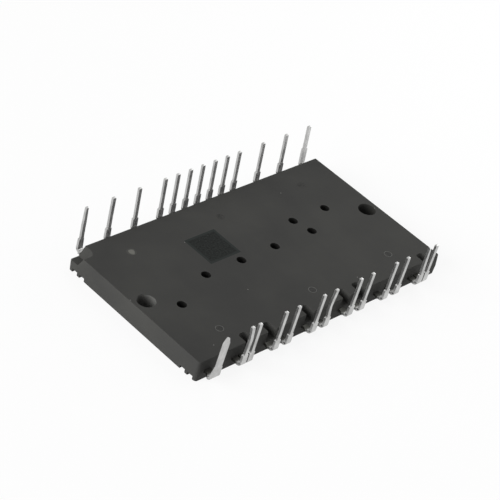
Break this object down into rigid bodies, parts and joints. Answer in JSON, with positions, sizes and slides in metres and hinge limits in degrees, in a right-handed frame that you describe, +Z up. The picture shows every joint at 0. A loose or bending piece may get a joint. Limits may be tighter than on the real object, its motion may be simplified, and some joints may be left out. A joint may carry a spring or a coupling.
{
  "type": "igbt power module",
  "caption": "Transfer-moulded IGBT power module: flat dark epoxy slab with end screw holes, bare metal heat-sink face and rows of tinned terminals bent up along both long edges.",
  "frame": {"origin": "centre of the module's box, on the plane of the heat-sink face that it lies on", "axes": "+X along the long side, from the notched end to the other; +Y from the front row of terminals to the back row; +Z up, the way the terminals point"},
  "size_m": [0.079, 0.05, 0.0138],
  "materials": {
    "epoxy": "moulded epoxy, spark-eroded mould texture",
    "tinned_copper": "matte tin plating",
    "spreader_aluminium": "rolled, lightly brushed",
    "wire_aluminium": "drawn wire",
    "wire_gold": "drawn wire",
    "silicon": "polished silicon"
  },
  "bodies": {
    "root": {"back_terminal_1": "tinned_copper", "back_terminal_10": "tinned_copper", "back_terminal_11": "tinned_copper", "back_terminal_12": "tinned_copper", "back_terminal_13": "tinned_copper", "back_terminal_2": "tinned_copper", "back_terminal_3": "tinned_copper", "back_terminal_4": "tinned_copper", "back_terminal_5": "tinned_copper", "back_terminal_6": "tinned_copper", "back_terminal_7": "tinned_copper", "back_terminal_8": "tinned_copper", "back_terminal_9": "tinned_copper", "front_terminal_1": "tinned_copper", "front_terminal_10": "tinned_copper", "front_terminal_11": "tinned_copper", "front_terminal_12": "tinned_copper", "front_terminal_13": "tinned_copper", "front_terminal_2": "tinned_copper", "front_terminal_3": "tinned_copper", "front_terminal_4": "tinned_copper", "front_terminal_5": "tinned_copper", "front_terminal_6": "tinned_copper", "front_terminal_7": "tinned_copper", "front_terminal_8": "tinned_copper", "front_terminal_9": "tinned_copper", "heat_spreader": "spreader_aluminium", "high_control_wires_u": "wire_gold", "high_control_wires_v": "wire_gold", "high_control_wires_w": "wire_gold", "high_diode_die_u": "silicon", "high_diode_die_v": "silicon", "high_diode_die_w": "silicon", "high_driver_u": "silicon", "high_driver_v": "silicon", "high_driver_w": "silicon", "high_power_wires_u": "wire_aluminium", "high_power_wires_v": "wire_aluminium", "high_power_wires_w": "wire_aluminium", "high_switch_die_u": "silicon", "high_switch_die_v": "silicon", "high_switch_die_w": "silicon", "low_control_wires": "wire_gold", "low_diode_die_u": "silicon", "low_diode_die_v": "silicon", "low_diode_die_w": "silicon", "low_driver": "silicon", "low_power_wires_u": "wire_aluminium", "low_power_wires_v": "wire_aluminium", "low_power_wires_w": "wire_aluminium", "low_switch_die_u": "silicon", "low_switch_die_v": "silicon", "low_switch_die_w": "silicon", "moulded_body": "epoxy"}
  },
  "joints": []
}
